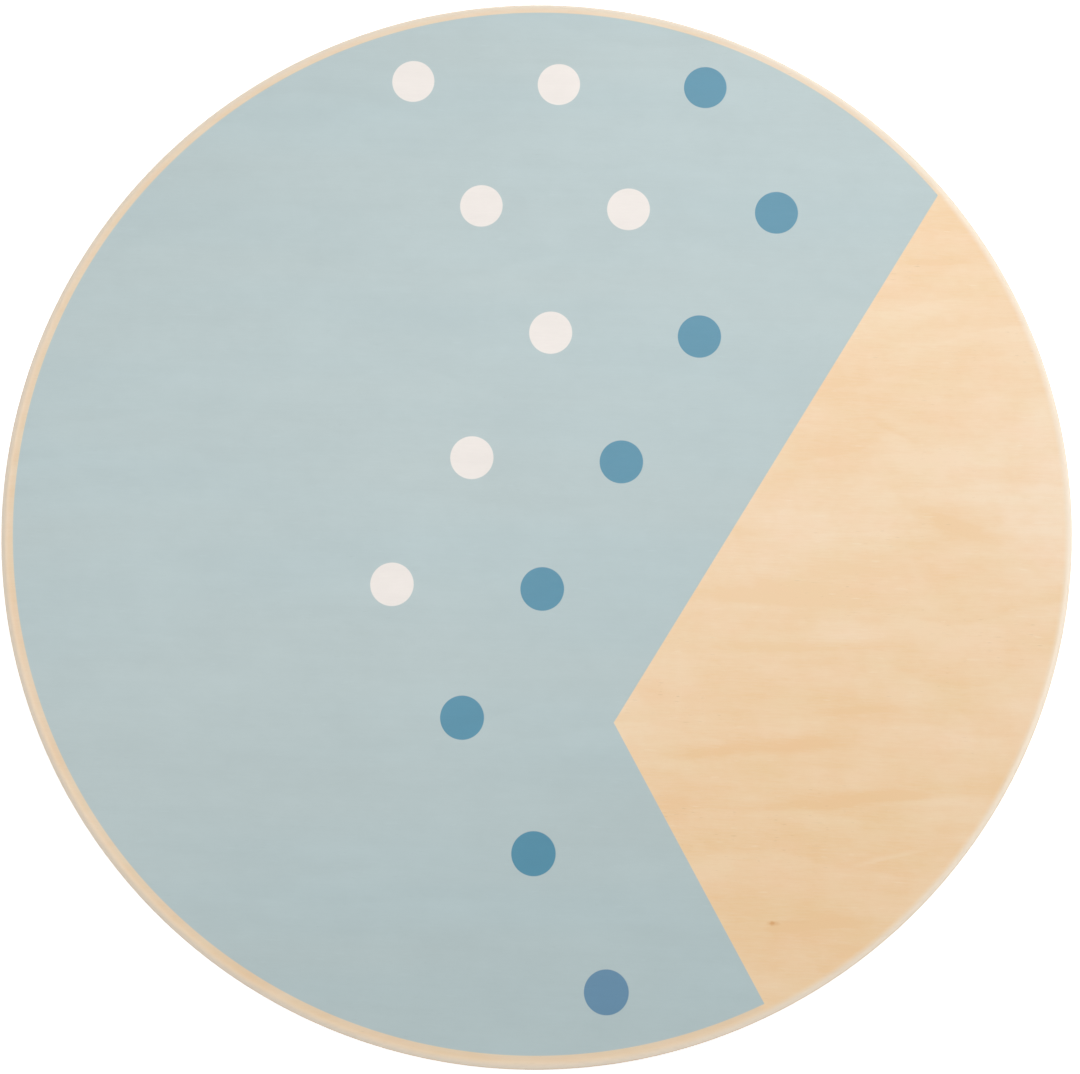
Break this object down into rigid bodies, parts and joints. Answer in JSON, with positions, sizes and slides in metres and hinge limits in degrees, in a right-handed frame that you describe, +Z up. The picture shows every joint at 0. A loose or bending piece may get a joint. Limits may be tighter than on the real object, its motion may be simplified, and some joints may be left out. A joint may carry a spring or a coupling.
{
  "type": "wooden balance board",
  "caption": "Round wobble board for children: a printed plywood deck on a turned wooden dome with a rubber crown, screwed together from below.",
  "frame": {"origin": "on the floor, under the centre of the board at rest", "axes": "+Z up, through the dome's crown and the middle of the deck; +X to the right of the printed face, along the grain; +Y up the printed face"},
  "size_m": [0.395, 0.395, 0.0853],
  "materials": {
    "printed_veneer": "satin lacquered print on pale veneer, grain along X",
    "long_grain_ply": "sanded and lacquered veneer, grain along X",
    "cross_grain_ply": "sanded and lacquered veneer, grain along Y",
    "turned_beech": "satin lacquered",
    "black_rubber": "matte moulded",
    "zinc_plated_steel": "bright zinc plating",
    "brass": "plain machined"
  },
  "bodies": {
    "root": {"top_face_veneer": "printed_veneer", "core_ply_1": "cross_grain_ply", "core_ply_2": "long_grain_ply", "core_ply_3": "cross_grain_ply", "core_ply_4": "long_grain_ply", "core_ply_5": "cross_grain_ply", "core_ply_6": "long_grain_ply", "core_ply_7": "cross_grain_ply", "bottom_face_veneer": "long_grain_ply", "rocker_dome": "turned_beech", "dome_screw_1": "zinc_plated_steel", "dome_screw_2": "zinc_plated_steel", "dome_screw_3": "zinc_plated_steel", "dome_screw_4": "zinc_plated_steel", "dome_screw_washer_1": "zinc_plated_steel", "dome_screw_washer_2": "zinc_plated_steel", "dome_screw_washer_3": "zinc_plated_steel", "dome_screw_washer_4": "zinc_plated_steel", "threaded_insert_1": "brass", "threaded_insert_2": "brass", "threaded_insert_3": "brass", "threaded_insert_4": "brass", "crown_pad": "black_rubber", "crown_pad_washer": "zinc_plated_steel", "crown_pad_screw": "zinc_plated_steel"}
  },
  "joints": []
}
